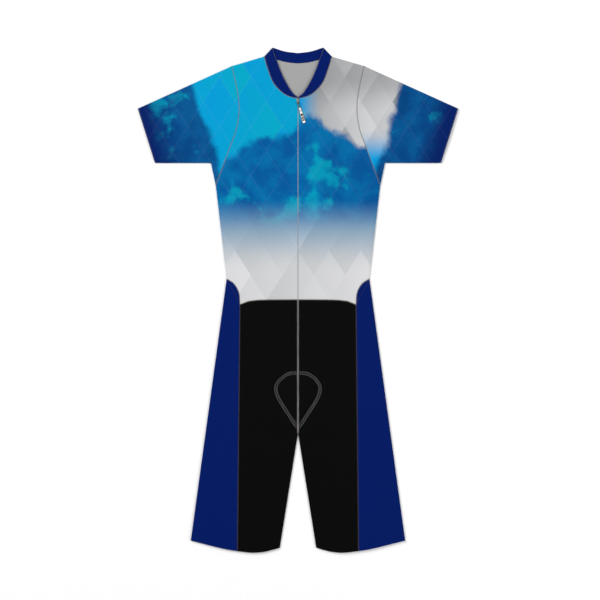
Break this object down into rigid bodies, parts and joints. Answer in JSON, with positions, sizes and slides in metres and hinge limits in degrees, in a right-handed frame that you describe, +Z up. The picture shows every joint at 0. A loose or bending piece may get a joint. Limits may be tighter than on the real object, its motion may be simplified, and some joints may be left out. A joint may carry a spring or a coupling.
{
  "type": "cycling skinsuit laid flat",
  "caption": "Short-sleeved one-piece cycling suit with a front zip and a padded seat, laid flat on its back.",
  "frame": {"origin": "on the surface that the suit lies on, at the centre of the suit's outline seen from above", "axes": "+Y from the leg hems towards the collar, +X from the wearer's right to the wearer's left, +Z up, out of the front of the suit"},
  "size_m": [0.6724, 1.06, 0.0091],
  "materials": {
    "printed_knit": "printed stretch knit with a soft sheen",
    "navy_knit": "dyed stretch knit with a soft sheen",
    "black_knit": "dyed stretch knit with a soft sheen",
    "pad_foam": "cloth-faced foam",
    "zip_coil": "nylon coil on woven tape",
    "slider_metal": "dull metal",
    "tab_rubber": "moulded soft plastic"
  },
  "bodies": {
    "garment": {"back_panel": "printed_knit", "front_right": "printed_knit", "front_left": "printed_knit", "sleeve_right": "printed_knit", "sleeve_left": "printed_knit", "collar_back": "navy_knit", "collar_front_right": "navy_knit", "collar_front_left": "navy_knit", "hip_insert_right": "navy_knit", "hip_insert_left": "navy_knit", "side_panel_right": "navy_knit", "side_panel_left": "navy_knit", "short_front_right": "black_knit", "short_front_left": "black_knit", "short_back_right": "black_knit", "short_back_left": "black_knit", "seat_pad": "pad_foam", "zip": "zip_coil", "zip_slider": "slider_metal"},
    "pull_tab": {"pull_tab": "tab_rubber"}
  },
  "joints": [
    {"name": "pull_tab_hinge", "type": "hinge", "parent": "garment", "child": "pull_tab", "pos_m": [0, 0.4143, 0.00748], "axis": [-0.9563, -0.2924, 0], "range_deg": [0, 165]}
  ]
}
